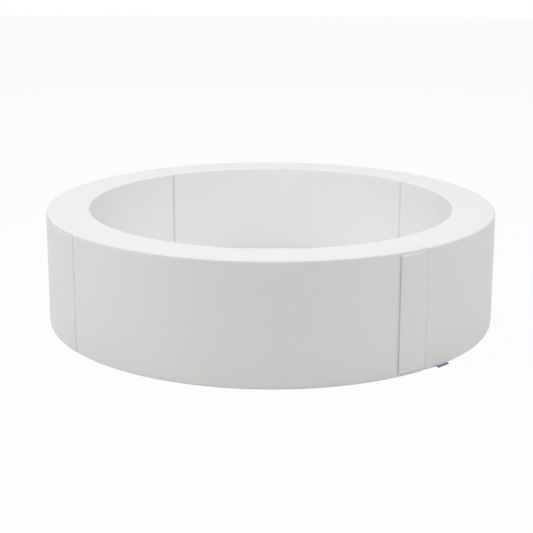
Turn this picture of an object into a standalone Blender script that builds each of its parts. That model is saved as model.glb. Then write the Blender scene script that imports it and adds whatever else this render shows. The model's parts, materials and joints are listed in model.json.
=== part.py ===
"""Ball pit: a ring of four foam wall segments in sewn vinyl covers, around a round floor mat.

Metres, +Z up. The origin is the centre of the ring, on the floor, and the front faces -Y.
Each segment has a foam core, a cover sewn from six panels, a zip in its base, and at one end
a flap that laps over the next segment and holds to it with hook and loop tape.
One segment is modelled as a template, from azimuth 0, and the four are turned copies of it.
"""

import math

import bmesh
import bpy
from mathutils import Matrix, Vector

# Driving sizes of the ring
OUTER_RADIUS = 0.800
WALL_THICKNESS = 0.150
WALL_HEIGHT = 0.400
EDGE_CHAMFER = 0.008
SEGMENT_NAMES = ("front", "right", "back", "left")
FRONT_AZIMUTH = math.radians(-142.5)
STEPS_PER_SEGMENT = 15

# Vinyl cover, and the clearances that every fit uses
COVER_THICKNESS = 0.0012
CLEARANCE = 0.0003
JOINT_GAP = 0.0008

# Flap that laps over the next segment
FLAP_REACH = 0.110
FLAP_THICKNESS = 0.0020
FLAP_TOP_SETBACK = 0.008
FLAP_BOTTOM_SETBACK = 0.012
FLAP_ROUND_SHARE = 0.45
HINGE_INSET = 0.0015
WELT_WIDTH = 0.004
WELT_DEPTH = 0.006

# Hook and loop tapes between the flap and the wall
TAPE_WIDTH = 0.050
TAPE_THICKNESS = 0.0012
TAPE_EDGE_SETBACK = 0.018
TAPE_END_SETBACK = 0.012

# Zip in the base of each cover
ZIP_START_STEPS = 2
ZIP_TAPE_HALF = 0.013
ZIP_TAPE_THICKNESS = 0.0008
COIL_HALF = 0.0032
COIL_HEIGHT = 0.0027
SLIT_HALF = 0.0012
ZIP_STOP_LENGTH = 0.012
ZIP_SLOT_HALF = 0.0060

# Zip slider, without a pull as on children's furniture
SLIDER_LENGTH = 0.012
SLIDER_PLATE_HALF = 0.0040
SLIDER_TOP_HALF = 0.0056
SLIDER_FLANGE = 0.0010
SLIDER_POST_HALF = 0.0005
SLIDER_PLATE = 0.0009
SLIDER_TOP = 0.0012
SLIDER_END_GAP = 0.0005

# Floor mat
MAT_THICKNESS = 0.060
MAT_CLEARANCE = 0.0005
MAT_EDGE_CHAMFER = 0.006
MAT_ZIP_LENGTH = 0.900

# Label sewn into the bottom seam of the right segment
LABEL_WIDTH = 0.053
LABEL_REACH = 0.013
LABEL_BEND = 0.002
LABEL_THICKNESS = 0.0008
LABEL_LIFT = 0.0006
LABEL_ALONG = 0.0725

# Cutters reach this far past what they cut
OVERRUN = 0.010

# How the meshes are made
SHARP_ANGLE = math.radians(30)
STRAIGHT_PROFILE_SHARE = 0.25
SMALL_SHARE = 0.001

SEGMENT_SPAN = math.tau / len(SEGMENT_NAMES)
STEP = SEGMENT_SPAN / STEPS_PER_SEGMENT
INNER_RADIUS = OUTER_RADIUS - WALL_THICKNESS
MIDDLE_RADIUS = OUTER_RADIUS - WALL_THICKNESS / 2
END_INSET = JOINT_GAP / 2
MAT_RADIUS = INNER_RADIUS - MAT_CLEARANCE
CORE_INSET = COVER_THICKNESS + CLEARANCE

LOOP_RADIUS = OUTER_RADIUS + CLEARANCE
HOOK_RADIUS = LOOP_RADIUS + TAPE_THICKNESS + CLEARANCE
FLAP_RADIUS = HOOK_RADIUS + TAPE_THICKNESS + CLEARANCE
HINGE_RADIUS = FLAP_RADIUS + FLAP_THICKNESS / 2
FLAP_LOW = FLAP_BOTTOM_SETBACK
FLAP_HIGH = WALL_HEIGHT - FLAP_TOP_SETBACK

ZIP_TAPE_LOW = COVER_THICKNESS + CLEARANCE
ZIP_TAPE_HIGH = ZIP_TAPE_LOW + ZIP_TAPE_THICKNESS
COIL_HIGH = ZIP_TAPE_HIGH + COIL_HEIGHT
SLIDER_HIGH = COIL_HIGH + CLEARANCE + SLIDER_TOP
CHANNEL_HIGH = SLIDER_HIGH + CLEARANCE

# Mirrors the flap end of a segment onto its other end
TO_FAR_END = Matrix((
    (math.cos(SEGMENT_SPAN), math.sin(SEGMENT_SPAN), 0, 0),
    (math.sin(SEGMENT_SPAN), -math.cos(SEGMENT_SPAN), 0, 0),
    (0, 0, 1, 0),
    (0, 0, 0, 1)))


# Meshes

def turned(profile, start, turn, steps):
    """A closed solid: the profile, a list of (radius, height), turned about the ring's axis."""
    shape = bmesh.new()
    direction = Vector((math.cos(start), math.sin(start), 0))
    corners = [shape.verts.new(direction * radius + Vector((0, 0, height))) for radius, height in profile]
    face = shape.faces.new(corners)
    geometry = [face] + face.edges[:] + face.verts[:]
    bmesh.ops.spin(shape, geom=geometry, axis=(0, 0, 1), cent=(0, 0, 0), angle=turn, steps=steps)
    bmesh.ops.recalc_face_normals(shape, faces=shape.faces)
    return shape


def cut(shape, point, normal):
    """Cuts away what lies beyond the plane, on the side that its normal points to, and closes the cut."""
    geometry = shape.verts[:] + shape.edges[:] + shape.faces[:]
    result = bmesh.ops.bisect_plane(
        shape, geom=geometry, plane_co=point, plane_no=normal, clear_outer=True)
    edges = [item for item in result["geom_cut"] if isinstance(item, bmesh.types.BMEdge)]
    bmesh.ops.holes_fill(shape, edges=edges)
    return shape


def arc(profile, start, end):
    """The profile turned from start to end, with its flats in line with those of every other arc."""
    first = math.floor(start / STEP + SMALL_SHARE)
    last = math.ceil(end / STEP - SMALL_SHARE)
    shape = turned(profile, first * STEP, (last - first) * STEP, last - first)
    if start / STEP - first > SMALL_SHARE:
        cut(shape, (0, 0, 0), (math.sin(start), -math.cos(start), 0))
    if last - end / STEP > SMALL_SHARE:
        cut(shape, (0, 0, 0), (-math.sin(end), math.cos(end), 0))
    return shape


def bar(profile, start, end):
    """The profile, a list of (across, height), run straight along X from start to end."""
    shape = bmesh.new()
    face = shape.faces.new([shape.verts.new((start, across, height)) for across, height in profile])
    run = bmesh.ops.extrude_face_region(shape, geom=[face])
    moved = [item for item in run["geom"] if isinstance(item, bmesh.types.BMVert)]
    bmesh.ops.translate(shape, verts=moved, vec=(end - start, 0, 0))
    bmesh.ops.recalc_face_normals(shape, faces=shape.faces)
    return shape


def block(low, high):
    """A box between two corners."""
    shape = bmesh.new()
    size = Vector(high) - Vector(low)
    place = Matrix.Translation((Vector(high) + Vector(low)) / 2) @ Matrix.Diagonal(size).to_4x4()
    bmesh.ops.create_cube(shape, size=1, matrix=place)
    return shape


def disc(radius, low, high):
    """A round disc between two heights, its flats in line with the ring's."""
    shape = bmesh.new()
    sides = STEPS_PER_SEGMENT * len(SEGMENT_NAMES)
    place = Matrix.Translation((0, 0, (low + high) / 2)) @ Matrix.Rotation(FRONT_AZIMUTH, 4, "Z")
    bmesh.ops.create_cone(
        shape, cap_ends=True, segments=sides, radius1=radius, radius2=radius,
        depth=high - low, matrix=place)
    return shape


def rectangle(low_radius, high_radius, low, high):
    """The corners of a rectangular profile."""
    return [(low_radius, low), (high_radius, low), (high_radius, high), (low_radius, high)]


# Modifiers

def finished(shape, *changes):
    """The shape's mesh after its modifiers: each change is (modifier type, settings)."""
    mesh = bpy.data.meshes.new("shape")
    shape.to_mesh(mesh)
    shape.free()
    holder = bpy.data.objects.new("shape", mesh)
    bpy.context.scene.collection.objects.link(holder)
    for kind, settings in changes:
        modifier = holder.modifiers.new(kind.title(), kind)
        for setting, value in settings.items():
            setattr(modifier, setting, value)
    graph = bpy.context.evaluated_depsgraph_get()
    result = bpy.data.meshes.new_from_object(holder.evaluated_get(graph))
    bpy.data.objects.remove(holder)
    return result


def chamfered(width, steps):
    """A flat Bevel on the sharp edges. With two steps, an edge runs along the middle of the flat."""
    return ("BEVEL", {
        "width": width, "segments": steps, "profile": STRAIGHT_PROFILE_SHARE,
        "limit_method": "ANGLE", "angle_limit": SHARP_ANGLE})


def rounded(width, steps):
    """A round Bevel on the sharp edges."""
    return ("BEVEL", {
        "width": width, "segments": steps, "limit_method": "ANGLE", "angle_limit": SHARP_ANGLE})


def vinyl_wall():
    """Gives an open skin the thickness of the vinyl, inwards."""
    return ("SOLIDIFY", {"thickness": COVER_THICKNESS, "offset": -1, "use_even_offset": True})


def without(helper):
    """Cuts the helper away."""
    return ("BOOLEAN", {"operation": "DIFFERENCE", "object": helper, "solver": "EXACT"})


def cutter(mesh):
    """A shape that others are cut by, kept out of the build in a collection of its own."""
    helper = bpy.data.objects.new("cutter", mesh)
    helper.hide_render = True
    helper.display_type = "WIRE"
    CUTTERS.objects.link(helper)
    return helper


def with_edits(mesh):
    """A mesh opened for more changes."""
    shape = bmesh.new()
    shape.from_mesh(mesh)
    return shape


def inset_chamfer(chamfer, inset):
    """The chamfer's width on a block that is smaller by the inset on every side, flats included."""
    return chamfer - (2 - math.sqrt(2)) * inset


def material(name, colour, roughness, metallic=0.0):
    """A Principled material with the photographed colour."""
    made = bpy.data.materials.new(name)
    made.use_nodes = True
    shader = made.node_tree.nodes["Principled BSDF"]
    shader.inputs["Base Color"].default_value = (*colour, 1)
    shader.inputs["Roughness"].default_value = roughness
    shader.inputs["Metallic"].default_value = metallic
    made.diffuse_color = (*colour, 1)
    return made


# Covers: a chamfered block's skin, split along the middle of each chamfer

def split_skin(mesh, depths):
    """The skin's panels by name. Each face goes to the side that it lies nearest to."""
    panels = {}
    for name in depths(Vector((0, 0, 0))):
        shape = with_edits(mesh)
        others = [
            face for face in shape.faces
            if min(depths(face.calc_center_median()).items(), key=lambda item: item[1])[0] != name]
        bmesh.ops.delete(shape, geom=others, context="FACES")
        rim = bmesh.ops.inset_region(
            shape, faces=shape.faces[:], thickness=CLEARANCE / 2,
            use_boundary=True, use_even_offset=True)
        bmesh.ops.delete(shape, geom=rim["faces"], context="FACES")
        panels[name] = finished(shape, vinyl_wall())
    return panels


def segment_block(inset, steps):
    """The whole segment as one chamfered block, inset on every face: a negative inset grows it."""
    profile = rectangle(INNER_RADIUS + inset, OUTER_RADIUS - inset, inset, WALL_HEIGHT - inset)
    shape = turned(profile, -STEP, SEGMENT_SPAN + 2 * STEP, STEPS_PER_SEGMENT + 2)
    point, normal = Vector((0, END_INSET + inset, 0)), Vector((0, -1, 0))
    cut(shape, point, normal)
    cut(shape, TO_FAR_END @ point, TO_FAR_END @ normal)
    return finished(shape, chamfered(inset_chamfer(EDGE_CHAMFER, inset), steps))


def segment_depths(place):
    """How deep a place lies under each side of the segment."""
    radius = math.hypot(place.x, place.y)
    return {
        "outer_panel": OUTER_RADIUS - radius,
        "inner_panel": radius - INNER_RADIUS,
        "top_panel": WALL_HEIGHT - place.z,
        "base_panel": place.z,
        "flap_end_panel": place.y - END_INSET,
        "plain_end_panel": (TO_FAR_END @ place).y - END_INSET}


def mat_block(inset, steps):
    """The whole mat as one chamfered disc, inset on every face."""
    shape = disc(MAT_RADIUS - inset, inset, MAT_THICKNESS - inset)
    return finished(shape, chamfered(inset_chamfer(MAT_EDGE_CHAMFER, inset), steps))


def mat_depths(place):
    """How deep a place lies under each side of the mat."""
    return {
        "mat_top_panel": MAT_THICKNESS - place.z,
        "mat_base_panel": place.z,
        "mat_side_band": MAT_RADIUS - math.hypot(place.x, place.y)}


# Zips, whose sections are drawn across the run about its middle

def zip_profile(middle):
    """The zip's tape with its coil standing on it, on the side of the foam."""
    return [
        (middle - ZIP_TAPE_HALF, ZIP_TAPE_LOW), (middle + ZIP_TAPE_HALF, ZIP_TAPE_LOW),
        (middle + ZIP_TAPE_HALF, ZIP_TAPE_HIGH), (middle + COIL_HALF, ZIP_TAPE_HIGH),
        (middle + COIL_HALF, COIL_HIGH), (middle - COIL_HALF, COIL_HIGH),
        (middle - COIL_HALF, ZIP_TAPE_HIGH), (middle - ZIP_TAPE_HALF, ZIP_TAPE_HIGH)]


def slit_profile(middle):
    """The line where the zip parts."""
    return rectangle(middle - SLIT_HALF, middle + SLIT_HALF, 0, CHANNEL_HIGH)


def channel_profile(middle):
    """The groove that the zip presses into the foam."""
    half = ZIP_TAPE_HALF + CLEARANCE
    return rectangle(middle - half, middle + half, -OVERRUN, CHANNEL_HIGH)


def slot_profile(middle):
    """The slot in the base panel that shows the zip and its slider."""
    return rectangle(middle - ZIP_SLOT_HALF, middle + ZIP_SLOT_HALF, -OVERRUN, OVERRUN)


def slider_profile(middle):
    """The slider's section: an outside plate, a post in the slit, and a top that hooks over the coil."""
    plate_low = CLEARANCE
    plate_high = plate_low + SLIDER_PLATE
    flange_low = ZIP_TAPE_HIGH + CLEARANCE
    top_low = SLIDER_HIGH - SLIDER_TOP
    flange_half = SLIDER_TOP_HALF - SLIDER_FLANGE
    right = [
        (SLIDER_PLATE_HALF, plate_low), (SLIDER_PLATE_HALF, plate_high),
        (SLIDER_POST_HALF, plate_high), (SLIDER_POST_HALF, top_low),
        (flange_half, top_low), (flange_half, flange_low),
        (SLIDER_TOP_HALF, flange_low), (SLIDER_TOP_HALF, SLIDER_HIGH)]
    left = [(-across, height) for across, height in reversed(right)]
    return [(middle + across, height) for across, height in right + left]


def zip_ends():
    """The azimuths where a segment's zip starts and ends."""
    return ZIP_START_STEPS * STEP, (STEPS_PER_SEGMENT - ZIP_START_STEPS) * STEP


def ring_zip():
    """The closed zip of a segment, its two rows joined at the stops."""
    start, end = zip_ends()
    stop = ZIP_STOP_LENGTH / MIDDLE_RADIUS
    slit = cutter(finished(arc(slit_profile(MIDDLE_RADIUS), start + stop, end - stop)))
    return finished(arc(zip_profile(MIDDLE_RADIUS), start, end), without(slit))


def ring_slider():
    """The slider at the closed end of the zip, centred between the zip's corners and its flats."""
    middle = MIDDLE_RADIUS * (1 + math.cos(STEP / 2)) / 2
    start = zip_ends()[0] + (ZIP_STOP_LENGTH + SLIDER_END_GAP) / MIDDLE_RADIUS
    return finished(turned(slider_profile(middle), start, SLIDER_LENGTH / MIDDLE_RADIUS, 1))


# Segment template, with its flap end at azimuth 0

def foam_core():
    """The foam block inside the cover, grooved where the zip runs."""
    start, end = zip_ends()
    margin = CLEARANCE / MIDDLE_RADIUS
    groove = cutter(finished(arc(channel_profile(MIDDLE_RADIUS), start - margin, end + margin)))
    return finished(with_edits(segment_block(CORE_INSET, 1)), without(groove))


def cover_panels():
    """The cover's six panels, the base one with a slot for the zip."""
    panels = split_skin(segment_block(0, 2), segment_depths)
    start, end = zip_ends()
    slot = cutter(finished(arc(slot_profile(MIDDLE_RADIUS), start, end)))
    panels["base_panel"] = finished(with_edits(panels["base_panel"]), without(slot))
    return panels


def flap():
    """The flap: a leaf over the next segment's end, rounded at its root about the hinge line."""
    profile = rectangle(FLAP_RADIUS, FLAP_RADIUS + FLAP_THICKNESS, FLAP_LOW, FLAP_HIGH)
    reach = math.ceil(FLAP_REACH / (OUTER_RADIUS * STEP)) + 1
    shape = turned(profile, -reach * STEP, (reach + 1) * STEP, reach + 1)
    cut(shape, (0, -FLAP_REACH, 0), (0, -1, 0))
    cut(shape, (0, HINGE_INSET + FLAP_THICKNESS / 2, 0), (0, 1, 0))
    return finished(shape, rounded(FLAP_THICKNESS * FLAP_ROUND_SHARE, 2))


def flap_welt():
    """The bead of folded vinyl in the corner seam that the flap is sewn to."""
    shape = block(
        (OUTER_RADIUS - WELT_DEPTH, 0, FLAP_LOW),
        (FLAP_RADIUS - CLEARANCE, WELT_WIDTH, FLAP_HIGH))
    return finished(shape, without(cutter(segment_block(-CLEARANCE, 1))))


def tape_ends():
    """How far from the joint the tapes start and end, along the wall."""
    far = FLAP_REACH - TAPE_EDGE_SETBACK
    return far - TAPE_WIDTH, far


def tape(radius):
    """A tape on the inner side of the flap's leaf, at this radius."""
    near, far = tape_ends()
    profile = rectangle(
        radius, radius + TAPE_THICKNESS, FLAP_LOW + TAPE_END_SETBACK, FLAP_HIGH - TAPE_END_SETBACK)
    reach = math.ceil(far / (OUTER_RADIUS * STEP)) + 1
    shape = turned(profile, -reach * STEP, reach * STEP, reach)
    cut(shape, (0, -far, 0), (0, -1, 0))
    return cut(shape, (0, -near, 0), (0, 1, 0))


def hook_tape():
    """The hook tape on the inner face of the flap."""
    return finished(tape(HOOK_RADIUS))


def loop_tape():
    """The loop tape on the outer face of the segment's far end, under the next segment's flap."""
    shape = tape(LOOP_RADIUS)
    bmesh.ops.rotate(shape, verts=shape.verts, cent=(0, 0, 0), matrix=Matrix.Rotation(SEGMENT_SPAN, 3, "Z"))
    return finished(shape)


def label():
    """The label sewn into the bottom seam, which bends down onto the floor."""
    seam_radius, seam_height = OUTER_RADIUS - EDGE_CHAMFER / 2, EDGE_CHAMFER / 2
    low, high = LABEL_LIFT, LABEL_LIFT + LABEL_THICKNESS
    bend, tip = OUTER_RADIUS + LABEL_BEND, OUTER_RADIUS + LABEL_REACH
    profile = [
        (seam_radius, seam_height - LABEL_THICKNESS), (bend, low), (tip, low),
        (tip, high), (bend, high), (seam_radius, seam_height)]
    shape = bar(profile, -LABEL_WIDTH / 2, LABEL_WIDTH / 2)
    across = Matrix.Rotation(LABEL_ALONG / OUTER_RADIUS - math.pi / 2, 4, "Z")
    bmesh.ops.transform(shape, matrix=across, verts=shape.verts)
    return finished(shape, without(cutter(segment_block(-CLEARANCE, 1))))


# Floor mat

def mat_pieces():
    """The mat's foam disc, the three panels of its cover, its zip and the slider."""
    half = MAT_ZIP_LENGTH / 2
    inner_half = half - ZIP_STOP_LENGTH
    slot = cutter(finished(bar(slot_profile(0), -half, half)))
    groove = cutter(finished(bar(channel_profile(0), -half - CLEARANCE, half + CLEARANCE)))
    slit = cutter(finished(bar(slit_profile(0), -inner_half, inner_half)))
    slider_start = SLIDER_END_GAP - inner_half
    panels = split_skin(mat_block(0, 2), mat_depths)
    panels["mat_base_panel"] = finished(with_edits(panels["mat_base_panel"]), without(slot))
    return {
        **panels,
        "mat_foam": finished(with_edits(mat_block(CORE_INSET, 1)), without(groove)),
        "mat_zip": finished(bar(zip_profile(0), -half, half), without(slit)),
        "mat_zip_slider": finished(
            bar(slider_profile(0), slider_start, slider_start + SLIDER_LENGTH))}


# Assembly

def place(name, mesh, finish, azimuth=0.0):
    """A named object of this mesh, turned about the ring's axis."""
    made = bpy.data.objects.new(name, mesh)
    made.rotation_euler.z = azimuth
    PIT.objects.link(made)
    if not mesh.materials:
        mesh.materials.append(finish)
        mesh.shade_smooth()
        mesh.set_sharp_from_angle(angle=SHARP_ANGLE)
    return made


def pivot(name, point):
    """An empty on a joint's axis, to carry what moves about it."""
    empty = bpy.data.objects.new(name, None)
    empty.location = point
    PIT.objects.link(empty)
    return empty


def carry(empty, *pieces):
    """Parents the pieces to the empty where they stand."""
    for piece in pieces:
        piece.parent = empty
        piece.matrix_parent_inverse = Matrix.Translation(-empty.location)


def segment_azimuth(segment):
    """Where a segment's flap end stands."""
    return FRONT_AZIMUTH + SEGMENT_NAMES.index(segment) * SEGMENT_SPAN


def flap_hinge_point(segment):
    """A point on the line that a segment's flap turns about."""
    return Matrix.Rotation(segment_azimuth(segment), 3, "Z") @ Vector((HINGE_RADIUS, HINGE_INSET, 0))


def template():
    """Each piece of a segment: its name's ending, its mesh and its finish."""
    vinyl_pieces = {"flap": flap(), "flap_welt": flap_welt(), **cover_panels()}
    pieces = [(ending, mesh, VINYL) for ending, mesh in vinyl_pieces.items()]
    return pieces + [
        ("foam_core", foam_core(), FOAM), ("hook_tape", hook_tape(), TAPE),
        ("loop_tape", loop_tape(), TAPE), ("zip", ring_zip(), TAPE),
        ("zip_slider", ring_slider(), SLIDER)]


def build_ring():
    """The four segments, each flap and its hook tape on a pivot."""
    pieces = template()
    segments = {}
    for segment in SEGMENT_NAMES:
        made = {
            ending: place(f"{segment}_{ending}", mesh, finish, segment_azimuth(segment))
            for ending, mesh, finish in pieces}
        hinge = pivot(f"{segment}_flap_hinge", flap_hinge_point(segment))
        carry(hinge, made.pop("flap"), made.pop("hook_tape"))
        segments[segment] = [*made.values(), hinge]
    return segments


def build_gate(gate_pieces):
    """The right segment opens as a gate, about the hinge line of the back segment's flap."""
    side_label = place("side_label", label(), LABEL, segment_azimuth("right"))
    carry(pivot("gate_hinge", flap_hinge_point("back")), side_label, *gate_pieces)


def build_mat():
    """The floor mat, which lies loose inside the ring."""
    finishes = {"mat_foam": FOAM, "mat_zip": TAPE, "mat_zip_slider": SLIDER}
    for name, mesh in mat_pieces().items():
        place(name, mesh, finishes.get(name, VINYL))


def clear_scene():
    for item in list(bpy.data.objects):
        bpy.data.objects.remove(item)


def collection(name):
    made = bpy.data.collections.new(name)
    bpy.context.scene.collection.children.link(made)
    return made


clear_scene()
PIT = collection("ball_pit")
CUTTERS = collection("cutters")
VINYL = material("white_vinyl", (0.86, 0.86, 0.855), 0.45)
FOAM = material("foam", (0.80, 0.78, 0.70), 0.95)
TAPE = material("white_tape", (0.82, 0.82, 0.81), 0.85)
SLIDER = material("slider_nylon", (0.78, 0.78, 0.78), 0.40)
LABEL = material("label_weave", (0.74, 0.76, 0.80), 0.80)

build_gate(build_ring()["right"])
build_mat()
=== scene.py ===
"""Looks of the ball pit: four stuffed wall segments in white synthetic leather around a floor mat.

Metres, +Z up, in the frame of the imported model. Azimuths turn about +Z, from +X.
A segment's pieces are modelled once, with the flap end at azimuth 0, and copied for each segment.
"along" is a distance round the outer wall from the joint at azimuth 0, below 0 over the neighbour.
"""

import json
import math

import bmesh
import bpy
from mathutils import Matrix, Vector
from mathutils.kdtree import KDTree

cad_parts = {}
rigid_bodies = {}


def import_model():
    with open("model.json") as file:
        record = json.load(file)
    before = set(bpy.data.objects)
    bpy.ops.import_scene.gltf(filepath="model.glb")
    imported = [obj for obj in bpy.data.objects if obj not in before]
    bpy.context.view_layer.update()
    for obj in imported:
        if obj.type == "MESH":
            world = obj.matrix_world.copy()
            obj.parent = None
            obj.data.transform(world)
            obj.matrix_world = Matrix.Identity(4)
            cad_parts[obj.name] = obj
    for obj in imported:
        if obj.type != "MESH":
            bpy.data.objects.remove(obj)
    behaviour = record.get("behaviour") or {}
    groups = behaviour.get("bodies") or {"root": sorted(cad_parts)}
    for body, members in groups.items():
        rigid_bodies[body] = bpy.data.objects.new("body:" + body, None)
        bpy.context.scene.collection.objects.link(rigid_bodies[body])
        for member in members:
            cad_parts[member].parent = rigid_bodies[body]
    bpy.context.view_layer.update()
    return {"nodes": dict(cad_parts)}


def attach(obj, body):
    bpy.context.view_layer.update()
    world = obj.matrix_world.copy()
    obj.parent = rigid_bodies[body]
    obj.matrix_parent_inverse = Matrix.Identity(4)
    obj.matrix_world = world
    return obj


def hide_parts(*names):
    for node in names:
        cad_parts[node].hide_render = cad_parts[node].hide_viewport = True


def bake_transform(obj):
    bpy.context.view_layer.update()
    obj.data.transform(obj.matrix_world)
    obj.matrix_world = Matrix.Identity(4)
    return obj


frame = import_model()

# Sizes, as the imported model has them
OUTER_RADIUS = 0.800
WALL_THICKNESS = 0.150
INNER_RADIUS = OUTER_RADIUS - WALL_THICKNESS
MIDDLE_RADIUS = OUTER_RADIUS - WALL_THICKNESS / 2
WALL_HEIGHT = 0.400
CLEARANCE = 0.0003
SEGMENTS = ("front", "right", "back", "left")
FRONT_AZIMUTH = math.radians(-142.5)
QUARTER = math.radians(90)
FAR_END = QUARTER * OUTER_RADIUS
BODY = {"front": "ring", "right": "gate", "back": "ring", "left": "ring"}

# Finding edges and faces, and shading them
SHARP_ANGLE = 1.0
SMOOTH_ANGLE = math.radians(50)
ON_FLOOR = 0.0002
FLAT_SHARE = 0.97

# Cover of a segment
END_GAP = 0.0007
RIM_ROUND = 0.0064
ROUND_STEPS = 4
COVER_COLUMNS = 12
COVER_ROWS = 32
COVER_STEPS = 90

# Seams of the covers
SEAM_HALF = 0.0012
SEAM_DEPTH = 0.0009
SEAM_REACH = 0.012
SEAM_POINT_SHARES = (0.1, 0.3, 0.5, 0.7, 0.9)
RIM_PANEL_SHARE = 0.30

# Stuffing: how far the vinyl may stand off the foam, and the cloth that finds its shape
OUTER_SWELL = 0.0015
INNER_SWELL = 0.0012
TOP_SWELL = 0.0011
SWELL_START = 0.012
SWELL_FULL = 0.090
PIN_REACH = 0.035
PRESSURE = 4.0
STRETCH_STIFFNESS = 40.0
BENDING_STIFFNESS = 5.0
STUFFING_FRAMES = 20

# Slots in the bases, which show the zips
SLOT_HALF = 0.0060
SLOT_DEPTH = 0.0068
SLOT_START = math.radians(12)
SLOT_END = math.radians(78)
MAT_SLOT_HALF_LENGTH = 0.450
COIL_REACH = 0.00352
COIL_PITCH = 0.0015
RIB_PITCH = 0.0009

# Thin strips with rounded edges
STRIP_ROWS = 40
THIN_EDGE_SHARE = 0.3
THIN_EDGE_STEPS = 2

# Flap, with the hook tape on it and the loop tape under it
FLAP_REACH = 0.110
FLAP_LOW = 0.012
FLAP_TOP_SETBACK = 0.008
FLAP_HIGH = WALL_HEIGHT - FLAP_TOP_SETBACK
TAPE_THICKNESS = 0.0012
TAPE_WIDTH = 0.050
TAPE_EDGE_SETBACK = 0.018
TAPE_END_SETBACK = 0.012
TAPE_FAR = FLAP_REACH - TAPE_EDGE_SETBACK
TAPE_NEAR = TAPE_FAR - TAPE_WIDTH
TAPE_LOW = FLAP_LOW + TAPE_END_SETBACK
TAPE_HIGH = FLAP_HIGH - TAPE_END_SETBACK
TAPE_STEPS = 12
LOOP_INSIDE = OUTER_RADIUS + CLEARANCE
HOOK_INSIDE = LOOP_INSIDE + TAPE_THICKNESS + CLEARANCE
FLAP_INSIDE = HOOK_INSIDE + TAPE_THICKNESS + CLEARANCE
FLAP_THICKNESS = 0.0020
FLAP_MIDDLE = FLAP_INSIDE + FLAP_THICKNESS / 2
FLAP_STEPS = 18
FLAP_ROWS = 60
FLAP_EDGE_SHARE = 0.45
FLAP_EDGE_STEPS = 3

# Bend at the flap's root, where it is sewn into the corner seam
ROOT_ALONG = 0.0014
ROOT_DROP = 0.0030
ROOT_MIDDLE = FLAP_MIDDLE - ROOT_DROP
DROP_START = -0.041
DROP_END = -0.010
BEND_START = -0.0048
BEND_RADIUS = 0.0042
BEND_LINES = 7
BEND_LINE_STEP = 0.0009
ROOT_THIN_SHARE = 0.4
ROOT_THIN_START = 0.3
ROOT_THIN_END = 1.4

# Hem: its stitched line, its lift off the wall in waves (share, turn per metre, start), and its top's lean
HEM = 0.0085
HEM_LINE_HALF = 0.001
HEM_LINE_DEPTH = 0.0005
HEM_LINE_REACH = 0.0003
HEM_FULLNESS = 0.0002
HEM_EDGE_REACH = 0.0015
HEM_LIFT_REACH = 0.020
HEM_SETTLE = 0.0016
HEM_LIFT = 0.0010
HEM_WAVES = ((0.3, 23.0, 0.7), (0.2, 61.0, 0.0))
LOW_LIFT_SHARE = 0.7
LEAN = 0.0027
LEAN_HEIGHT = 0.0050

# Seam at the flap's root: the bead in the corner, and the fold that joins gate and ring
BEAD_RADIUS = 0.0014
BEAD_PLACE = (0.7972, 0.0010)
BEAD_SIDES = 16
BEAD_END_SHARE = 0.5
BEAD_END_STEPS = 3
BEAD_CUTS = 40
FOLD_INSIDE = 0.7976
FOLD_THICKNESS = 0.0010
FOLD_START = 0.0020
FOLD_END = -0.0002
FOLD_STEPS = 8
FOLD_EDGE_SHARE = 0.15

# Stitches
STITCH_PITCH = 0.0042
STITCH_SHARE = 0.86
STITCH_ROOT = -0.0095
TAPE_SEAM = 0.0035
THREAD_WIDTH = 0.0007
THREAD_HEIGHT = 0.0006
THREAD_SINK = 0.0001
THREAD_SIDES = 6
THREAD_RINGS = 4

# Floor mat
MAT_CLEARANCE = 0.0005
MAT_RADIUS = INNER_RADIUS - MAT_CLEARANCE
MAT_HEIGHT = 0.060
MAT_ROUND = 0.0080
MAT_SIDES = 192
MAT_RINGS = 26
MAT_RING_WIDTH = 0.0240
MAT_BAND_CUTS = 2
MAT_SWELL = 0.0040
MAT_SWELL_START = 0.010
MAT_SWELL_FULL = 0.25
MAT_TOP_SHARE = 0.9

# Label in the bottom seam of the right segment
LABEL_ALONG = 0.0725
LABEL_WIDTH = 0.053
LABEL_THICKNESS = 0.0008
LABEL_SEAM = (0.7970, 0.0062)
LABEL_LEVEL = 0.0130
LABEL_SLOPE = 0.05
LABEL_CURL = 0.0045
LABEL_TURN = math.radians(80)
LABEL_COLUMNS = 24
LABEL_ROWS = 14

# The label's weave, in shares of its width and its length
LABEL_SIDE_SHARE = 0.07
LABEL_BAND_SHARES = (0.60, 0.84)
LABEL_TIP_SHARE = 0.93
LABEL_WARPS = 90
LABEL_WEFTS = 36

# Camera, in millimetres of lens and sensor, and metres and radians of its place
LENS = 75.26
SENSOR_WIDTH = 36.0
LENS_SHIFT = -0.150
EYE_PLACE = (0.0, -3.9509, 1.2794)
EYE_TURN = (1.36585, -0.00242, 0.00431)

# Stage
FLOOR_SIZE = 40
FLOOR_TONE = 0.80
NEAR_WHITE_SHARE = 0.95
LIT_FLOOR_RADIUS = 1.3
WHITE_FLOOR_RADIUS = 2.6
SKY_STRENGTH = 0.10
SKY_COLOUR = (0.61, 0.765, 1.0)
LAMP_TARGET = (0, 0, 0.2)
# Each lamp: its name, place, width, power, colour, and whether a gloss shows it
LAMPS = (
    ("overhead", (0.0, 0.0, 3.0), 3.0, 52.2, (1.0, 0.983, 0.971), True),
    ("left", (-4.0, -1.0, 2.0), 2.5, 59.7, (1.0, 0.982, 0.945), False),
    ("right", (4.0, -1.0, 2.0), 2.5, 46.8, (1.0, 0.989, 0.972), False),
    ("front", (0.0, -5.5, 3.0), 3.0, 92.0, (1.0, 0.938, 0.857), False),
    ("back", (0.0, 5.5, 3.0), 3.0, 50.0, (1.0, 1.0, 1.0), False),
)


# Editing by hand

def only(thing):
    """Selects this object alone and makes it active."""
    for other in bpy.context.view_layer.objects:
        other.select_set(False)
    thing.select_set(True)
    bpy.context.view_layer.objects.active = thing


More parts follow.
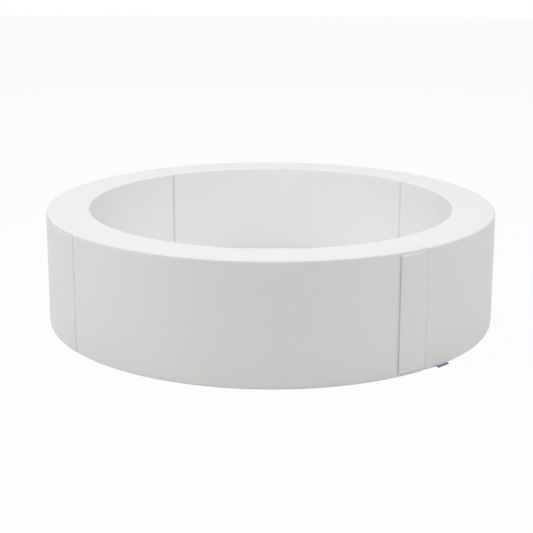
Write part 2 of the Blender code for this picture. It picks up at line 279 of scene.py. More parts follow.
def new_piece(name, size=(1, 1, 1)):
    """The object that an operator has just added, named and sized, with its place moved into its mesh."""
    piece = bpy.context.object
    piece.name = piece.data.name = name
    piece.scale = size
    only(piece)
    bpy.ops.object.transform_apply(location=True, rotation=True, scale=True)
    return piece


def edit(piece):
    only(piece)
    bpy.ops.object.mode_set(mode="EDIT")


def leave():
    bpy.ops.object.mode_set(mode="OBJECT")


def pick(piece, kind, test):
    """Selects, in edit mode, the faces, edges or verts of the piece that pass the test."""
    bpy.ops.mesh.select_mode(type={"faces": "FACE", "edges": "EDGE", "verts": "VERT"}[kind])
    bpy.ops.mesh.select_all(action="DESELECT")
    shape = bmesh.from_edit_mesh(piece.data)
    shape.normal_update()
    for item in getattr(shape, kind):
        if test(item):
            item.select_set(True)
    shape.select_flush_mode()
    bmesh.update_edit_mesh(piece.data)


def sharp(edge):
    return len(edge.link_faces) == 2 and edge.calc_face_angle() > SHARP_ANGLE


def apply_all(piece):
    only(piece)
    for modifier in list(piece.modifiers):
        bpy.ops.object.modifier_apply(modifier=modifier.name)


def smooth(piece):
    """Subdivides the finished piece once and shades it smooth."""
    subdivision = piece.modifiers.new("subdivision", "SUBSURF")
    subdivision.levels = subdivision.render_levels = 1
    apply_all(piece)
    bpy.ops.object.shade_smooth()
    return piece


def smooth_by_angle(piece):
    """Shades the piece smooth, but for its sharp edges."""
    only(piece)
    bpy.ops.object.shade_smooth_by_angle(angle=SMOOTH_ANGLE)
    return piece


# Places

def radius_of(place):
    return math.hypot(place.x, place.y)


def along_of(place):
    return math.atan2(place.y, place.x) * OUTER_RADIUS


def at(along, radius, height, azimuth=0.0):
    """The place at this distance along the wall, from the joint at this azimuth."""
    angle = azimuth + along / OUTER_RADIUS
    return Vector((radius * math.cos(angle), radius * math.sin(angle), height))


def outward(place):
    return Vector((place.x, place.y, 0)).normalized()


def middle(face):
    return sum((vert.co for vert in face.verts), Vector()) / len(face.verts)


def ramp(value, low, high):
    """Rises smoothly from 0 at low to 1 at high."""
    share = min(max((value - low) / (high - low), 0.0), 1.0)
    return share * share * (3 - 2 * share)


# Turned strips and blocks

def turned_block(name, low, high, start, end, columns, rows, steps, lines=()):
    """A closed block from one corner (radius, height) to the other, spun from start to end along the wall.
    lines are extra radii at which its section is divided."""
    bpy.ops.mesh.primitive_grid_add(
        x_subdivisions=columns, y_subdivisions=rows, size=1,
        location=((low[0] + high[0]) / 2, 0, (low[1] + high[1]) / 2), rotation=(math.pi / 2, 0, 0))
    piece = new_piece(name, (high[0] - low[0], high[1] - low[1], 1))
    edit(piece)
    for line in lines:
        bpy.ops.mesh.select_all(action="SELECT")
        bpy.ops.mesh.bisect(plane_co=(line, 0, 0), plane_no=(1, 0, 0))
    bpy.ops.mesh.select_all(action="SELECT")
    bpy.ops.transform.rotate(
        value=-start / OUTER_RADIUS, orient_axis="Z", orient_type="GLOBAL", center_override=(0, 0, 0))
    bpy.ops.mesh.spin(steps=steps, angle=(start - end) / OUTER_RADIUS, center=(0, 0, 0), axis=(0, 0, 1))
    bpy.ops.mesh.select_all(action="SELECT")
    bpy.ops.mesh.normals_make_consistent(inside=False)
    leave()
    return piece


def strip(name, inside, thickness, start, end, low, high, steps, edge_share=THIN_EDGE_SHARE):
    """A flat strip round the wall, its edges rounded."""
    piece = turned_block(name, (inside, low), (inside + thickness, high), start, end, 1, STRIP_ROWS, steps)
    edit(piece)
    pick(piece, "edges", sharp)
    bpy.ops.mesh.bevel(offset=thickness * edge_share, segments=THIN_EDGE_STEPS, affect="EDGES")
    leave()
    return smooth_by_angle(piece)


# Seams between panels

def shares_sides(edge):
    """An edge between two panels."""
    faces = edge.link_faces
    return len(faces) == 2 and faces[0].material_index != faces[1].material_index


def sew_seams(piece, depths):
    """Parts the piece into panels, each face to the side it is least deep under, and draws the seams in.
    Returns the seams' points, to find how far a place is from them."""
    count = len(depths(Vector((0, 0, 0))))
    for side in range(count):
        piece.data.materials.append(None)
    for face in piece.data.polygons:
        under = depths(face.center)
        face.material_index = under.index(min(under))
    edit(piece)
    for side in range(count):
        pick(piece, "faces", lambda face: face.material_index == side)
        bpy.ops.mesh.inset(thickness=SEAM_HALF, use_even_offset=True)
    pick(piece, "edges", shares_sides)
    shape = bmesh.from_edit_mesh(piece.data)
    ends = [[vert.co.copy() for vert in edge.verts] for edge in shape.edges if edge.select]
    bpy.ops.transform.shrink_fatten(value=-SEAM_DEPTH)
    leave()
    points = [start.lerp(end, share) for start, end in ends for share in SEAM_POINT_SHARES]
    seams = KDTree(len(points))
    for number, point in enumerate(points):
        seams.insert(point, number)
    seams.balance()
    return seams


def mark_seams(piece, seams):
    """Keeps on each point how near a seam it is, from 0 to 1, for the vinyl's puckers and its painted
    shade along the seams.
    """
    near = [max(0.0, 1 - seams.find(vert.co)[2] / SEAM_REACH) for vert in piece.data.vertices]
    piece.data.attributes.new("seam", "FLOAT", "POINT").data.foreach_set("value", near)


def stuff(piece, seams, swell):
    """Swells the cover as cloth under pressure, held at its seams, each point within its own swell."""
    rest = [vert.co.copy() for vert in piece.data.vertices]
    normals = [vert.normal.copy() for vert in piece.data.vertices]
    limits = [swell(place) * ramp(seams.find(place)[2], 2 * SEAM_HALF, PIN_REACH) for place in rest]
    held = piece.vertex_groups.new(name="held")
    held.add([index for index, limit in enumerate(limits) if limit == 0.0], 1.0, "REPLACE")
    cloth = piece.modifiers.new("cloth", "CLOTH")
    cloth.settings.vertex_group_mass = "held"
    cloth.settings.use_pressure = True
    cloth.settings.uniform_pressure_force = PRESSURE
    cloth.settings.effector_weights.gravity = 0.0
    cloth.settings.tension_stiffness = cloth.settings.compression_stiffness = STRETCH_STIFFNESS
    cloth.settings.bending_stiffness = BENDING_STIFFNESS
    cloth.point_cache.frame_start, cloth.point_cache.frame_end = 1, STUFFING_FRAMES
    for number in range(1, STUFFING_FRAMES + 1):
        bpy.context.scene.frame_set(number)
    apply_all(piece)
    bpy.context.scene.frame_set(1)
    for vert, place, normal, limit in zip(piece.data.vertices, rest, normals, limits):
        rise = max((vert.co - place).dot(normal), 0.0)
        vert.co = place + normal * limit * math.tanh(rise / limit) if limit else place
    piece.vertex_groups.clear()


# Cover of a segment

def segment_depths(place):
    """How deep a place lies under each side, with the rims' rounding counted to the flat panels."""
    return (
        OUTER_RADIUS - radius_of(place), radius_of(place) - INNER_RADIUS,
        (WALL_HEIGHT - place.z) * RIM_PANEL_SHARE, place.z * RIM_PANEL_SHARE,
        place.y - END_GAP, place.x - END_GAP)


def cover():
    """The stuffed cover of a segment: rounded edges with a sewn seam along each, closed all round."""
    start = END_GAP / MIDDLE_RADIUS * OUTER_RADIUS
    piece = turned_block(
        "cover", (INNER_RADIUS, 0), (OUTER_RADIUS, WALL_HEIGHT), start, QUARTER * OUTER_RADIUS - start,
        COVER_COLUMNS, COVER_ROWS, COVER_STEPS, (MIDDLE_RADIUS - SLOT_HALF, MIDDLE_RADIUS + SLOT_HALF))
    round_edges(piece)
    seams = sew_seams(piece, segment_depths)
    stuff(piece, seams, swell_of_cover)
    edit(piece)
    pick(piece, "faces", in_ring_slot)
    bpy.ops.mesh.extrude_region_move(TRANSFORM_OT_translate={"value": (0, 0, SLOT_DEPTH)})
    leave()
    smooth(piece)
    mark_seams(piece, seams)
    return piece


def round_edges(piece):
    """Rounds the rims and the edges of the two ends, in one Bevel."""
    weights = piece.data.attributes.new("bevel_weight_edge", "FLOAT", "EDGE")
    shape = bmesh.new()
    shape.from_mesh(piece.data)
    weights.data.foreach_set("value", [float(sharp(edge)) for edge in shape.edges])
    shape.free()
    bevel = piece.modifiers.new("rounding", "BEVEL")
    bevel.width = RIM_ROUND
    bevel.segments = ROUND_STEPS
    bevel.limit_method = "WEIGHT"
    apply_all(piece)


def in_ring_slot(face):
    """A face of the base in the slot that shows the zip."""
    place = middle(face)
    in_width = abs(radius_of(place) - MIDDLE_RADIUS) < SLOT_HALF
    return place.z < ON_FLOOR and in_width and SLOT_START < math.atan2(place.y, place.x) < SLOT_END


def swell_of_cover(place):
    """How far the vinyl may stand off the foam here: not under the next flap, behind the mat or below."""
    to_plain_end = math.atan2(place.x, place.y) * OUTER_RADIUS
    depths = segment_depths(place)
    side = depths.index(min(depths))
    if side == 0:
        return OUTER_SWELL * ramp(to_plain_end, FLAP_REACH + SWELL_START, FLAP_REACH + SWELL_FULL)
    if side == 1:
        return INNER_SWELL * ramp(place.z, MAT_HEIGHT + SWELL_START, MAT_HEIGHT + SWELL_FULL)
    return TOP_SWELL if side == 2 else 0.0


# Flap, with its stitching, and the seam at its root

def stand_off(along, height):
    """How far the leaf stands off here. Past the tapes it comes down to the wall, at its root and at its
    free edge, which lifts a little low down. Its top leans in."""
    free = ramp(-along, FLAP_REACH - HEM_LIFT_REACH, FLAP_REACH)
    wave = 0.5 + sum(share * math.sin(height * rate + start) for share, rate, start in HEM_WAVES)
    low_down = 1 + LOW_LIFT_SHARE * (1 - height / WALL_HEIGHT)
    lean = LEAN * ramp(height, FLAP_HIGH - LEAN_HEIGHT, FLAP_HIGH)
    down = ramp(along, DROP_START, DROP_END)
    hem = free * (HEM_LIFT * wave * low_down - HEM_SETTLE)
    return hem - lean * (1 - down) - ROOT_DROP * down


def shape_leaf(piece):
    """Lays the leaf on the wall, and bends its root into the corner seam round an upright line."""
    for vert in piece.data.vertices:
        along, radius = along_of(vert.co), radius_of(vert.co)
        radius += stand_off(along, vert.co.z)
        if along > BEND_START:
            angle = (along - BEND_START) / BEND_RADIUS
            thin = 1 - (1 - ROOT_THIN_SHARE) * ramp(angle, ROOT_THIN_START, ROOT_THIN_END)
            reach = BEND_RADIUS + (radius - ROOT_MIDDLE) * thin
            along = BEND_START + reach * math.sin(angle)
            radius = ROOT_MIDDLE - BEND_RADIUS + reach * math.cos(angle)
        vert.co = at(along, radius, vert.co.z)


def flap():
    """Two layers of vinyl with a hem, which lap over the next segment's end."""
    piece = turned_block(
        "flap", (FLAP_INSIDE, FLAP_LOW), (FLAP_INSIDE + FLAP_THICKNESS, FLAP_HIGH),
        ROOT_ALONG, -FLAP_REACH, 1, FLAP_ROWS, FLAP_STEPS)
    edit(piece)
    pick(piece, "edges", sharp)
    bpy.ops.mesh.bevel(
        offset=FLAP_THICKNESS * FLAP_EDGE_SHARE, segments=FLAP_EDGE_STEPS, affect="EDGES")
    for inset in (HEM / 2, HEM - HEM_LINE_HALF, HEM, HEM + HEM_LINE_HALF):
        across(inset - FLAP_REACH)
        level(FLAP_LOW + inset)
        level(FLAP_HIGH - inset)
    for number in range(BEND_LINES):
        across(BEND_START + number * BEND_LINE_STEP)
    pick(piece, "verts", on_hem_line)
    bpy.ops.transform.shrink_fatten(value=-HEM_LINE_DEPTH)
    pick(piece, "verts", in_hem)
    bpy.ops.transform.shrink_fatten(value=HEM_FULLNESS)
    leave()
    shape_leaf(piece)
    return smooth(piece)


def across(along):
    """Divides the piece in edit mode along an upright line."""
    angle = along / OUTER_RADIUS
    bpy.ops.mesh.select_all(action="SELECT")
    bpy.ops.mesh.bisect(plane_co=(0, 0, 0), plane_no=(-math.sin(angle), math.cos(angle), 0))


def level(height):
    """Divides the piece in edit mode at a height."""
    bpy.ops.mesh.select_all(action="SELECT")
    bpy.ops.mesh.bisect(plane_co=(0, 0, height), plane_no=(0, 0, 1))


def hem_distance(place):
    """How far a place on the leaf is from its top, bottom or free edge."""
    return min(place.z - FLAP_LOW, FLAP_HIGH - place.z, along_of(place) + FLAP_REACH)


def on_flat(vert):
    """On the outer or the inner side of the leaf, off its rounded edge."""
    return abs(vert.normal.dot(outward(vert.co))) > FLAT_SHARE


def on_hem_line(vert):
    """On the line where the hem is stitched down."""
    return on_flat(vert) and abs(hem_distance(vert.co) - HEM) < HEM_LINE_REACH


def in_hem(vert):
    """On the hem, clear of the leaf's edge and of the stitched line."""
    return on_flat(vert) and HEM_EDGE_REACH < hem_distance(vert.co) < HEM - HEM_EDGE_REACH


def bead():
    """The bead of folded vinyl in the corner seam, which the flap is sewn to."""
    bpy.ops.mesh.primitive_cylinder_add(
        vertices=BEAD_SIDES, radius=BEAD_RADIUS, depth=FLAP_HIGH - FLAP_LOW,
        location=(*BEAD_PLACE, (FLAP_LOW + FLAP_HIGH) / 2))
    piece = new_piece("bead")
    edit(piece)
    pick(piece, "edges", sharp)
    bpy.ops.mesh.bevel(offset=BEAD_RADIUS * BEAD_END_SHARE, segments=BEAD_END_STEPS, affect="EDGES")
    pick(piece, "edges", lambda edge: abs(edge.verts[0].co.z - edge.verts[1].co.z) > WALL_HEIGHT / 2)
    bpy.ops.mesh.subdivide(number_cuts=BEAD_CUTS)
    leave()
    only(piece)
    bpy.ops.object.shade_smooth()
    return piece


def stitching(name, lines):
    """Rows of stitches: a short thread modelled once, and laid from point to point. Each line is a list of
    (start, end, out), with out pointing off the cloth."""
    bpy.ops.mesh.primitive_uv_sphere_add(segments=THREAD_SIDES, ring_count=THREAD_RINGS, radius=0.5)
    thread = new_piece("thread")
    corners = [vert.co.copy() for vert in thread.data.vertices]
    faces = [tuple(face.vertices) for face in thread.data.polygons]
    bpy.data.objects.remove(thread)
    places, loops = [], []
    for start, end, out in lines:
        run = end - start
        side = out.cross(run).normalized()
        base, centre = len(places), (start + end) / 2
        places += [
            centre + run * (corner.z * STITCH_SHARE) + side * (corner.x * THREAD_WIDTH)
            + out * (corner.y * THREAD_HEIGHT) for corner in corners]
        loops += [tuple(base + index for index in face) for face in faces]
    mesh = bpy.data.meshes.new(name)
    mesh.from_pydata(places, [], loops)
    mesh.shade_smooth()
    piece = bpy.data.objects.new(name, mesh)
    bpy.context.scene.collection.objects.link(piece)
    return piece


def stitches(corners, surface, facing=1):
    """Stitches through the corners (along, height), on the radius that surface gives for each place."""
    lines = []
    for (start, low), (end, high) in zip(corners, corners[1:]):
        count = round(math.hypot(end - start, high - low) / STITCH_PITCH)
        points = [
            (start + (end - start) * step / count, low + (high - low) * step / count)
            for step in range(count + 1)]
        places = [at(along, surface(along, height), height) for along, height in points]
        lines += [(first, second, outward(first) * facing) for first, second in zip(places, places[1:])]
    return lines


def flap_stitching():
    """The topstitching from the flap's root round its free edge."""
    far, low, high = HEM - FLAP_REACH, FLAP_LOW + HEM, FLAP_HIGH - HEM
    corners = [(STITCH_ROOT, high), (far, high), (far, low), (STITCH_ROOT, low)]
    outside = FLAP_INSIDE + FLAP_THICKNESS - THREAD_SINK
    return stitching(
        "flap_stitching", stitches(corners, lambda along, height: outside + stand_off(along, height)))


def tape_stitching(name, radius, shift, facing):
    """The stitches round a tape, near its edges."""
    near, far = shift - TAPE_NEAR - TAPE_SEAM, shift - TAPE_FAR + TAPE_SEAM
    low, high = TAPE_LOW + TAPE_SEAM, TAPE_HIGH - TAPE_SEAM
    corners = [(near, low), (near, high), (far, high), (far, low), (near, low)]
    return stitching(name, stitches(corners, lambda along, height: radius, facing))


# Floor mat

def mat_depths(place):
    return (
        (MAT_HEIGHT - place.z) * RIM_PANEL_SHARE, place.z * RIM_PANEL_SHARE,
        MAT_RADIUS - radius_of(place))


def swell_of_mat(place):
    inner = MAT_RADIUS - radius_of(place)
    on_top = place.z > MAT_HEIGHT * MAT_TOP_SHARE and inner > SWELL_START
    return MAT_SWELL * ramp(inner, MAT_SWELL_START, MAT_SWELL_FULL) if on_top else 0.0


def in_base(face):
    """A face of the mat's flat underside."""
    return all(vert.co.z < ON_FLOOR for vert in face.verts)


def in_mat_slot(face):
    """A face of the mat's underside in the slot that shows the zip."""
    place = middle(face)
    return in_base(face) and abs(place.y) < SLOT_HALF and abs(place.x) < MAT_SLOT_HALF_LENGTH


def floor_mat():
    """The round mat inside the ring, stuffed, with a seam round its top and bottom edges."""
    bpy.ops.mesh.primitive_cylinder_add(
        vertices=MAT_SIDES, radius=MAT_RADIUS, depth=MAT_HEIGHT, end_fill_type="NGON",
        location=(0, 0, MAT_HEIGHT / 2))
    piece = new_piece("floor_mat")
    edit(piece)
    pick(piece, "edges", sharp)
    bpy.ops.mesh.bevel(offset=MAT_ROUND, segments=ROUND_STEPS, affect="EDGES")
    pick(piece, "edges", lambda edge: abs(edge.verts[0].co.z - edge.verts[1].co.z) > MAT_HEIGHT / 2)
    bpy.ops.mesh.subdivide(number_cuts=MAT_BAND_CUTS)
    for upwards in (1, -1):
        pick(piece, "faces", lambda face: len(face.verts) == MAT_SIDES and face.normal.z * upwards > 0)
        for ring in range(MAT_RINGS):
            bpy.ops.mesh.inset(thickness=MAT_RING_WIDTH, use_even_offset=True)
        bpy.ops.mesh.poke()
    for reach, normal in ((SLOT_HALF, (0, 1, 0)), (MAT_SLOT_HALF_LENGTH, (1, 0, 0))):
        for side in (1, -1):
            pick(piece, "faces", in_base)
            bpy.ops.mesh.bisect(plane_co=Vector(normal) * reach * side, plane_no=normal)
    leave()
    seams = sew_seams(piece, mat_depths)
    stuff(piece, seams, swell_of_mat)
    edit(piece)
    pick(piece, "faces", in_mat_slot)
    bpy.ops.mesh.extrude_region_move(TRANSFORM_OT_translate={"value": (0, 0, SLOT_DEPTH)})
    leave()
    smooth_by_angle(piece)
    mark_seams(piece, seams)
    return piece


# Label

def label_path(share):
    """Where the label is, (radius, height), at this share of its way: level out of the seam, then down."""
    way = share * (LABEL_LEVEL + LABEL_CURL * LABEL_TURN)
    if way < LABEL_LEVEL:
        return LABEL_SEAM[0] + way, LABEL_SEAM[1] - way * LABEL_SLOPE
    angle = (way - LABEL_LEVEL) / LABEL_CURL
    start = LABEL_SEAM[0] + LABEL_LEVEL, LABEL_SEAM[1] - LABEL_LEVEL * LABEL_SLOPE
    return start[0] + LABEL_CURL * math.sin(angle), start[1] - LABEL_CURL * (1 - math.cos(angle))


def label():
    """The woven label, sewn into the bottom seam by one edge, that bends down onto the floor."""
    bpy.ops.mesh.primitive_grid_add(x_subdivisions=LABEL_COLUMNS, y_subdivisions=LABEL_ROWS, size=1)
    piece = new_piece("label", (LABEL_WIDTH, 1, 1))
    for vert in piece.data.vertices:
        radius, height = label_path(vert.co.y + 0.5)
        vert.co = at(LABEL_ALONG + vert.co.x, radius, height)
    only(piece)
    wall = piece.modifiers.new("thickness", "SOLIDIFY")
    wall.thickness = LABEL_THICKNESS
    wall.offset = 0
    rounding = piece.modifiers.new("rounding", "BEVEL")
    rounding.width = LABEL_THICKNESS * THIN_EDGE_SHARE
    rounding.segments = THIN_EDGE_STEPS
    apply_all(piece)
    return smooth_by_angle(piece)


# Placing

def copy_of(piece, name, azimuth):
    """A copy with its own mesh, turned about the ring's axis."""
    copy = bpy.data.objects.new(name, piece.data.copy())
    copy.data.name = name
    copy.data.transform(Matrix.Rotation(azimuth, 4, "Z"))
    bpy.context.scene.collection.objects.link(copy)
    return copy


def finish_with(piece, material):
    """Gives the whole piece this material."""
    piece.data.materials.clear()
    piece.data.materials.append(material)
    for face in piece.data.polygons:
        face.material_index = 0
    return piece


# Materials

class Finish:
    """A node material under construction, with the Object coordinates at hand."""

    def __init__(self, name, roughness):
        self.material = bpy.data.materials.new(name)
        self.material.use_nodes = True
        self.nodes, self.links = self.material.node_tree.nodes, self.material.node_tree.links
        self.shader = self.nodes["Principled BSDF"]
        self.shader.inputs["Roughness"].default_value = roughness
        self.place = self.nodes.new("ShaderNodeTexCoord").outputs["Object"]

    def add(self, kind, into=(), **settings):
        """A node with these settings. into pairs its inputs with the sockets or values that feed them."""
        node = self.nodes.new(kind)
        for name, value in settings.items():
            setattr(node, name, value)
        for name, value in dict(into).items():
            if isinstance(value, bpy.types.NodeSocket):
                self.links.new(value, node.inputs[name])
            else:
                node.inputs[name].default_value = value
        return node

    def noise(self, scale, detail=3.0):
        into = {"Vector": self.place, "Scale": scale, "Detail": detail}
        return self.add("ShaderNodeTexNoise", into).outputs["Fac"]

    def cells(self, scale):
        return self.add("ShaderNodeTexVoronoi", {"Vector": self.place, "Scale": scale}).outputs["Distance"]

    def math(self, operation, first, second=0.0):
        return self.add("ShaderNodeMath", {0: first, 1: second}, operation=operation).outputs[0]

    def span(self, value, low, high, new_low, new_high):
        into = {
            "Value": value, "From Min": low, "From Max": high, "To Min": new_low, "To Max": new_high}
        return self.add("ShaderNodeMapRange", into).outputs["Result"]

    def tone(self, factor, first, second):
        """The first colour at factor 0 and the second at 1: each a colour or a socket."""
        colours = {
            6: first if isinstance(first, bpy.types.NodeSocket) else (*first, 1),
            7: second if isinstance(second, bpy.types.NodeSocket) else (*second, 1)}
        return self.add("ShaderNodeMix", {"Factor": factor, **colours}, data_type="RGBA").outputs[2]

    def paint(self, colour):
        self.links.new(colour, self.shader.inputs["Base Color"])

    def bump(self, *layers):
        """Lays bumps over each other: each is (height, strength, distance in metres)."""
        normal = None
        for height, strength, distance in layers:
            into = {"Height": height, "Strength": strength, "Distance": distance}
            if normal:
                into["Normal"] = normal
            normal = self.add("ShaderNodeBump", into).outputs["Normal"]
        self.links.new(normal, self.shader.inputs["Normal"])


def vinyl():
    """White synthetic leather: a fine pebble grain, an uneven soft sheen, and puckers along its seams,
    next to which the colour is darkened as painted shade.
    """
    made = Finish("white_vinyl", 0.46)
    clouds = made.noise(3.0, 4.0)
    seam = made.add("ShaderNodeAttribute", attribute_name="seam").outputs["Fac"]
    body = made.tone(clouds, (0.866, 0.866, 0.861), (0.884, 0.884, 0.881))
    # Painted shade: the colour goes darker grey next to the seams, standing in for shade in their creases.
    seam_shade = made.span(seam, 0.80, 1.0, 0.0, 0.75)
    made.paint(made.tone(seam_shade, body, (0.70, 0.70, 0.69)))
    sheen = made.span(made.noise(14.0), 0.3, 0.7, 0.40, 0.52)
    made.links.new(sheen, made.shader.inputs["Roughness"])
    puckers = made.math("MULTIPLY", made.noise(110.0, 2.0), seam)
    made.bump(
        (made.noise(5.0, 2.0), 0.25, 0.0020), (puckers, 0.55, 0.0015),
        (made.cells(850.0), 0.14, 0.0003), (made.noise(2600.0, 1.0), 0.06, 0.0002))
    return made.material


def hook_nylon():
    """Hook tape: rows of stiff little hooks on a woven ground."""
    made = Finish("hook_nylon", 0.55)
    hooks = made.cells(620.0)
    made.paint(made.tone(made.span(hooks, 0.1, 0.6, 0.0, 1.0), (0.88, 0.88, 0.87), (0.66, 0.66, 0.65)))
    made.bump((hooks, 0.9, 0.0008), (made.noise(1800.0), 0.3, 0.0003))
    return made.material


def loop_plush():
    """Loop tape: a brushed pile of fine loops."""
    made = Finish("loop_plush", 0.95)
    pile = made.noise(900.0, 6.0)
    made.paint(made.tone(made.span(pile, 0.3, 0.7, 0.0, 1.0), (0.76, 0.76, 0.75), (0.90, 0.90, 0.89)))
    made.shader.inputs["Sheen Weight"].default_value = 0.25
    made.bump((made.noise(60.0), 0.3, 0.0010), (pile, 0.8, 0.0007))
    return made.material


def thread():
    """Twisted white thread."""
    made = Finish("white_thread", 0.75)
    twist = made.noise(2200.0, 2.0)
    made.paint(made.tone(twist, (0.80, 0.80, 0.79), (0.90, 0.90, 0.89)))
    made.bump((twist, 0.6, 0.0002))
    return made.material


def zip_weave(name, run, offset):
    """A zip: a ribbed tape with the coil's turns along its middle, the valleys between ribs and turns
    painted darker as shade. run gives the distance along it, and offset the distance from its middle, each
    as a function of the finish."""
    made = Finish(name, 0.6)
    along, out = run(made), offset(made)
    coil = made.math("LESS_THAN", made.math("ABSOLUTE", out), COIL_REACH)
    turns = made.math("SINE", made.math("MULTIPLY", along, math.tau / COIL_PITCH))
    ribs = made.math("SINE", made.math("MULTIPLY", out, math.tau / RIB_PITCH))
    height = made.add("ShaderNodeMix", {"Factor": coil, 2: ribs, 3: turns}, data_type="FLOAT").outputs[0]
    # Painted light and shade: the colour follows the bump's height, lighter on ridges and turns, darker in
    # the valleys between them.
    light = made.span(height, -1.0, 1.0, 0.0, 1.0)
    made.paint(made.tone(light, (0.70, 0.70, 0.69), (0.88, 0.88, 0.87)))
    made.bump((height, 0.6, 0.0003))
    return made.material


def round_the_ring(made):
    parts = made.add("ShaderNodeSeparateXYZ", {"Vector": made.place}).outputs
    return made.math("MULTIPLY", made.math("ARCTAN2", parts["Y"], parts["X"]), MIDDLE_RADIUS)


def off_the_ring(made):
    flat = made.add("ShaderNodeVectorMath", {0: made.place, 1: (1, 1, 0)}, operation="MULTIPLY").outputs[0]
    length = made.add("ShaderNodeVectorMath", {0: flat}, operation="LENGTH").outputs["Value"]
    return made.math("SUBTRACT", length, MIDDLE_RADIUS)


def along_x(made):
    return made.add("ShaderNodeSeparateXYZ", {"Vector": made.place}).outputs["X"]


def along_y(made):
    return made.add("ShaderNodeSeparateXYZ", {"Vector": made.place}).outputs["Y"]


def nylon():
    """The sliders' moulded nylon."""
    made = Finish("slider_nylon", 0.35)
    made.paint(made.tone(made.noise(40.0), (0.80, 0.80, 0.80), (0.88, 0.88, 0.88)))
    made.bump((made.noise(900.0), 0.1, 0.0002))
    return made.material


def label_weave():
    """The label's pale weave on its UV map, with a plain dark band, a white outer edge and a dark side."""
    made = Finish("label_weave", 0.8)
    across_and_out = made.add("ShaderNodeUVMap").outputs["UV"]
    parts = made.add("ShaderNodeSeparateXYZ", {"Vector": across_and_out}).outputs
    past_start = made.math("GREATER_THAN", parts["Y"], LABEL_BAND_SHARES[0])
    before_end = made.math("LESS_THAN", parts["Y"], LABEL_BAND_SHARES[1])
    band = made.math("MULTIPLY", past_start, before_end)
    edge = made.math("GREATER_THAN", parts["Y"], LABEL_TIP_SHARE)
    side = made.math("LESS_THAN", parts["X"], LABEL_SIDE_SHARE)
    warp = made.math("SINE", made.math("MULTIPLY", parts["X"], math.tau * LABEL_WARPS))
    weft = made.math("SINE", made.math("MULTIPLY", parts["Y"], math.tau * LABEL_WEFTS))
    weave = made.math("MULTIPLY", warp, weft)
    ground = made.tone(made.span(weave, -1.0, 1.0, 0.0, 1.0), (0.50, 0.57, 0.67), (0.66, 0.73, 0.82))
    banded = made.tone(made.math("MAXIMUM", band, side), ground, (0.020, 0.026, 0.060))
    made.paint(made.tone(edge, banded, (0.86, 0.87, 0.89)))
    made.bump((weave, 0.5, 0.0002))
    return made.material


# Camera and stage

def camera():
    lens = bpy.data.cameras.new("camera")
    lens.lens = LENS
    lens.sensor_width = SENSOR_WIDTH
    lens.shift_y = LENS_SHIFT
    eye = bpy.data.objects.new("camera", lens)
    eye.location = EYE_PLACE
    eye.rotation_euler = EYE_TURN
    bpy.context.scene.collection.objects.link(eye)
    bpy.context.scene.camera = eye


def seen(nodes, links):
    """1 for the camera's own rays and for those that a gloss or a clear piece sends on, else 0."""
    path = nodes.new("ShaderNodeLightPath")
    found = path.outputs["Is Camera Ray"]
    for kind in ("Is Glossy Ray", "Is Transmission Ray"):
        either = nodes.new("ShaderNodeMath")
        either.operation = "MAXIMUM"
        links.new(found, either.inputs[0])
        links.new(path.outputs[kind], either.inputs[1])
        found = either.outputs[0]
    return found


def stage():
    """The pale floor. It keeps the object's shadow, mostly inside the ring, and goes over into the white
    background further out."""
    bpy.ops.mesh.primitive_plane_add(size=FLOOR_SIZE)
    ground = new_piece("floor")
    made = Finish("floor", 0.9)
    made.shader.inputs["Base Color"].default_value = (FLOOR_TONE, FLOOR_TONE, FLOOR_TONE, 1)
    made.shader.inputs["Specular IOR Level"].default_value = 0.0
    distance = made.add("ShaderNodeVectorMath", {0: made.place}, operation="LENGTH").outputs["Value"]
    inside = made.span(distance, INNER_RADIUS, OUTER_RADIUS, 0.0, NEAR_WHITE_SHARE)
    further = made.span(distance, LIT_FLOOR_RADIUS, WHITE_FLOOR_RADIUS, NEAR_WHITE_SHARE, 1.0)
    white = made.math("MINIMUM", inside, further)
    share = made.math("MULTIPLY", white, seen(made.nodes, made.links))
    both = made.add("ShaderNodeMixShader", {
        0: share, 1: made.shader.outputs[0], 2: made.add("ShaderNodeEmission").outputs[0]})
    made.links.new(both.outputs[0], made.nodes["Material Output"].inputs["Surface"])
    ground.data.materials.append(made.material)


def sky():
    """The soft light from all round, and the white background that the camera sees in its place."""
    world = bpy.data.worlds.new("studio")
    world.use_nodes = True
    bpy.context.scene.world = world
    nodes, links = world.node_tree.nodes, world.node_tree.links
    light = nodes["Background"]
    light.inputs["Color"].default_value = (*SKY_COLOUR, 1)
    light.inputs["Strength"].default_value = SKY_STRENGTH
    white = nodes.new("ShaderNodeBackground")
    white.inputs["Color"].default_value = (1, 1, 1, 1)
    both = nodes.new("ShaderNodeMixShader")
    links.new(seen(nodes, links), both.inputs[0])
    links.new(light.outputs[0], both.inputs[1])
    links.new(white.outputs[0], both.inputs[2])
    links.new(both.outputs[0], nodes["World Output"].inputs["Surface"])


def lamp(name, place, width, power, colour, in_gloss):
    light = bpy.data.lights.new(name, "AREA")
    light.size = width
    light.energy = power
    light.color = colour
    holder = bpy.data.objects.new(name, light)
    holder.location = place
    holder.visible_glossy = in_gloss
    holder.rotation_euler = (Vector(LAMP_TARGET) - Vector(place)).to_track_quat("-Z", "Y").to_euler()
    bpy.context.scene.collection.objects.link(holder)


# Making

camera()
stage()
sky()
for settings in LAMPS:
    lamp(*settings)
bpy.context.scene.view_settings.view_transform = "Standard"

VINYL, HOOK, LOOP, THREAD = vinyl(), hook_nylon(), loop_plush(), thread()
NYLON, LABEL = nylon(), label_weave()
RING_ZIP = zip_weave("ring_zip_weave", round_the_ring, off_the_ring)
MAT_ZIP = zip_weave("mat_zip_weave", along_x, along_y)

PANELS = ("outer_panel", "inner_panel", "top_panel", "base_panel", "flap_end_panel", "plain_end_panel")
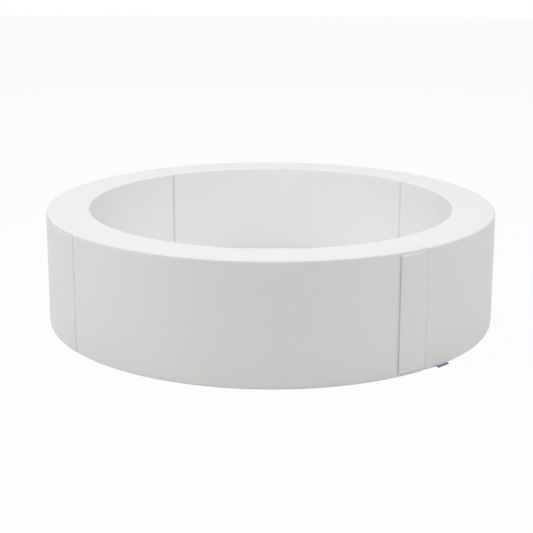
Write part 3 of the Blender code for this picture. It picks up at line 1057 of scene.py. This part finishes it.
# Each part of a segment: its template, material, slot, and the nodes that it stands for
PARTS = {
    "cover": (cover(), VINYL, "vinyl", ("foam_core", *PANELS)),
    "flap": (flap(), VINYL, "vinyl", ("flap",)),
    "bead": (bead(), VINYL, "vinyl", ("flap_welt",)),
    "hook_tape": (
        strip("hook_tape", HOOK_INSIDE, TAPE_THICKNESS, -TAPE_NEAR, -TAPE_FAR, TAPE_LOW, TAPE_HIGH,
              TAPE_STEPS),
        HOOK, "tape", ("hook_tape",)),
    "loop_tape": (
        strip("loop_tape", LOOP_INSIDE, TAPE_THICKNESS, FAR_END - TAPE_NEAR, FAR_END - TAPE_FAR,
              TAPE_LOW, TAPE_HIGH, TAPE_STEPS),
        LOOP, "tape", ("loop_tape",)),
    "flap_stitching": (flap_stitching(), THREAD, "tape", ()),
    "hook_stitching": (tape_stitching("hook_stitching", HOOK_INSIDE, 0.0, -1), THREAD, "tape", ()),
    "loop_stitching": (
        tape_stitching("loop_stitching", LOOP_INSIDE + TAPE_THICKNESS, FAR_END, 1), THREAD, "tape", ())}
ON_LEAF = ("hook_tape", "hook_stitching", "flap_stitching")

for number, segment in enumerate(SEGMENTS):
    azimuth = FRONT_AZIMUTH + number * QUARTER
    made = {}
    for part, (template, material, slot, nodes) in PARTS.items():
        piece = made[part] = copy_of(template, f"{segment}_{part}_cloth", azimuth)
        finish_with(piece, material)
        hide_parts(*[f"{segment}_{node}" for node in nodes])
        if part == "flap":
            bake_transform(piece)
        else:
            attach(piece, f"{segment}_flap_leaf" if part in ON_LEAF else BODY[segment])

fold_template = strip(
    "flap_fold", FOLD_INSIDE, FOLD_THICKNESS, FOLD_START, FOLD_END, FLAP_LOW, FLAP_HIGH, FOLD_STEPS,
    FOLD_EDGE_SHARE)
back_azimuth = FRONT_AZIMUTH + 2 * QUARTER
fold = copy_of(fold_template, "back_flap_fold_cloth", back_azimuth)
finish_with(fold, VINYL)
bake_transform(fold)

label_template = label()
side_label = copy_of(label_template, "side_label_cloth", FRONT_AZIMUTH + QUARTER)
finish_with(side_label, LABEL)
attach(side_label, "gate")
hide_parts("side_label")

for template in [entry[0] for entry in PARTS.values()] + [fold_template, label_template]:
    bpy.data.objects.remove(template)

mat = finish_with(floor_mat(), VINYL)
mat.name = "floor_mat_cloth"
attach(mat, "mat")
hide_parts("mat_foam", "mat_top_panel", "mat_base_panel", "mat_side_band")

for name, node in frame["nodes"].items():
    if name.endswith("_slider"):
        finish_with(node, NYLON)
    elif name.endswith("_zip"):
        finish_with(node, MAT_ZIP if name == "mat_zip" else RING_ZIP)
